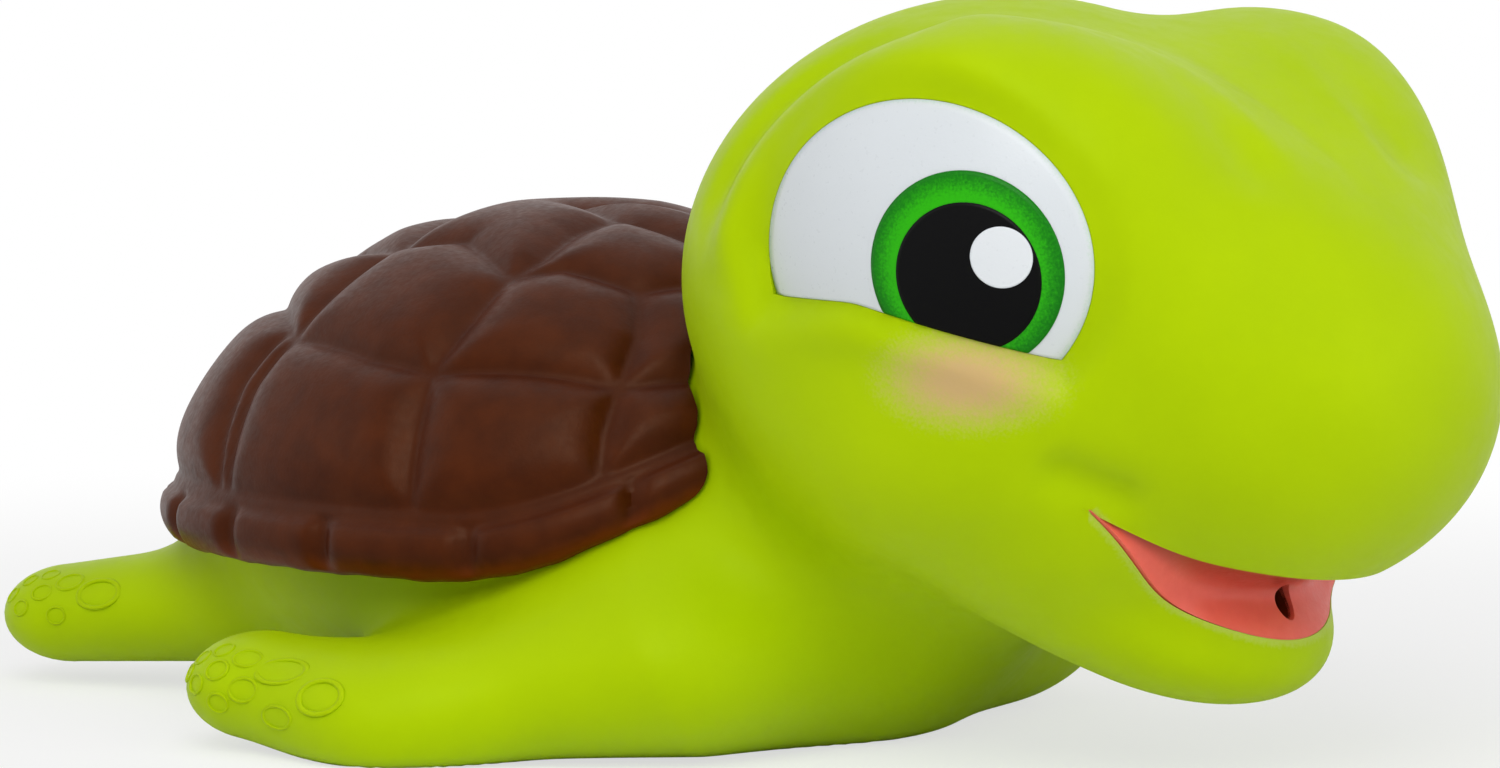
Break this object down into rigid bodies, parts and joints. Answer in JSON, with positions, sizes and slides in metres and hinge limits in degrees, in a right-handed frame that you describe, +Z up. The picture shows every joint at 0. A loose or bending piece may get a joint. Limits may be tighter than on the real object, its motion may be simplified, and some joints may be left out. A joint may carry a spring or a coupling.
{
  "type": "squeaky bath toy",
  "caption": "Soft hollow vinyl sea turtle that lies on its belly, with a quilted shell, large printed eyes, a squirt hole in the mouth and a reed squeaker in the belly.",
  "frame": {"origin": "on the floor plane, on the belly's flat under the chest, 14 mm ahead of the squeaker's axis", "axes": "+X towards the beak, +Y to the turtle's left side, +Z up"},
  "size_m": [0.1203, 0.0754, 0.0539],
  "materials": {
    "green_vinyl": "soft satin lime-green vinyl, slightly translucent",
    "brown_vinyl": "satin brown sprayed vinyl with a fine grain",
    "pink_paint": "satin coral-pink sprayed coat",
    "white_print": "smooth white printed ink",
    "green_print": "green printed ink, darker round its edge",
    "black_print": "black printed ink",
    "white_plastic": "plain white injection-moulded plastic",
    "reed_film": "thin springy plastic film"
  },
  "bodies": {
    "toy": {"body_moulding": "green_vinyl", "carapace": "brown_vinyl", "mouth_coat": "pink_paint", "eye_white_right": "white_print", "eye_white_left": "white_print", "iris_right": "green_print", "iris_left": "green_print", "pupil_right": "black_print", "pupil_left": "black_print", "glint_right": "white_print", "glint_left": "white_print", "squeaker_cup": "white_plastic", "reed_block": "white_plastic", "reed_clip": "white_plastic", "squeaker_cap": "white_plastic"},
    "reed_tongue": {"reed": "reed_film"}
  },
  "joints": [
    {"name": "reed_flex", "type": "hinge", "parent": "toy", "child": "reed_tongue", "pos_m": [-0.0123, 0, 0.0022], "axis": [0, 1, 0], "range_deg": [0, 5], "stiffness_Nm_per_rad": 0.0005}
  ]
}
